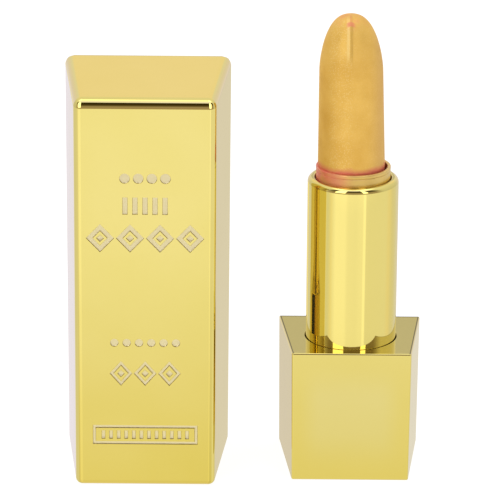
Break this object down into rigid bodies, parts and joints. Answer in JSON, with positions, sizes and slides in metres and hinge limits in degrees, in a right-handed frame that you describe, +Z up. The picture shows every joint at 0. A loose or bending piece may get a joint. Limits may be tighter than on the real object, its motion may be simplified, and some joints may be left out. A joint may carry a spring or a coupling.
{
  "type": "lipstick case",
  "caption": "Bar-shaped turn-up lipstick case: a trapezoid base block with a swivel tube, cup and bullet, and a full-length cap with a round-bored liner.",
  "frame": {"origin": "centre of the base block's foot, on the lipstick's axis", "axes": "+Z up along the lipstick's axis, +Y towards the wide back face, +X to the right seen from the narrow front face; the cap stands beside it towards -X"},
  "size_m": [0.0689, 0.0251, 0.09],
  "materials": {
    "plated_gold": "mirror-like gold metallised plastic",
    "tube_gold": "polished gold anodised aluminium",
    "cup_gold": "brushed gold anodised aluminium",
    "lipstick_wax": "pearlescent gold lipstick, pink at its foot",
    "liner_plastic": "natural moulded plastic",
    "mechanism_plastic": "natural moulded acetal",
    "socket_plastic": "black moulded plastic",
    "weight_steel": "zinc plated steel",
    "brake_rubber": "silicone rubber",
    "label_film": "blank white label film"
  },
  "bodies": {
    "base": {"base_shell": "plated_gold", "base_plate": "plated_gold", "shade_label": "label_film", "base_weight": "weight_steel", "mechanism_socket": "socket_plastic", "inner_tube": "mechanism_plastic", "brake_ring": "brake_rubber"},
    "turning": {"shroud": "tube_gold", "spiral_sleeve": "mechanism_plastic"},
    "carrier": {"carrier_cup": "cup_gold", "bullet": "lipstick_wax"},
    "cap": {"cap_shell": "plated_gold", "cap_liner": "liner_plastic"}
  },
  "joints": [
    {"name": "shroud_turn", "type": "hinge", "parent": "base", "child": "turning", "pos_m": [0, 0, 0.0259], "axis": [0, 0, 1], "range_deg": [0, 540]},
    {"name": "carrier_slide", "type": "slide", "parent": "base", "child": "carrier", "axis": [0, 0, 1], "range_m": [-0.033, 0]},
    {"name": "cap_lift", "type": "slide", "parent": "base", "child": "cap", "axis": [0, 0, 1], "range_m": [0, 0.095]}
  ],
  "couplings": [
    {"joint": "carrier_slide", "follows": "shroud_turn", "m_per_rad": -0.0035014}
  ]
}
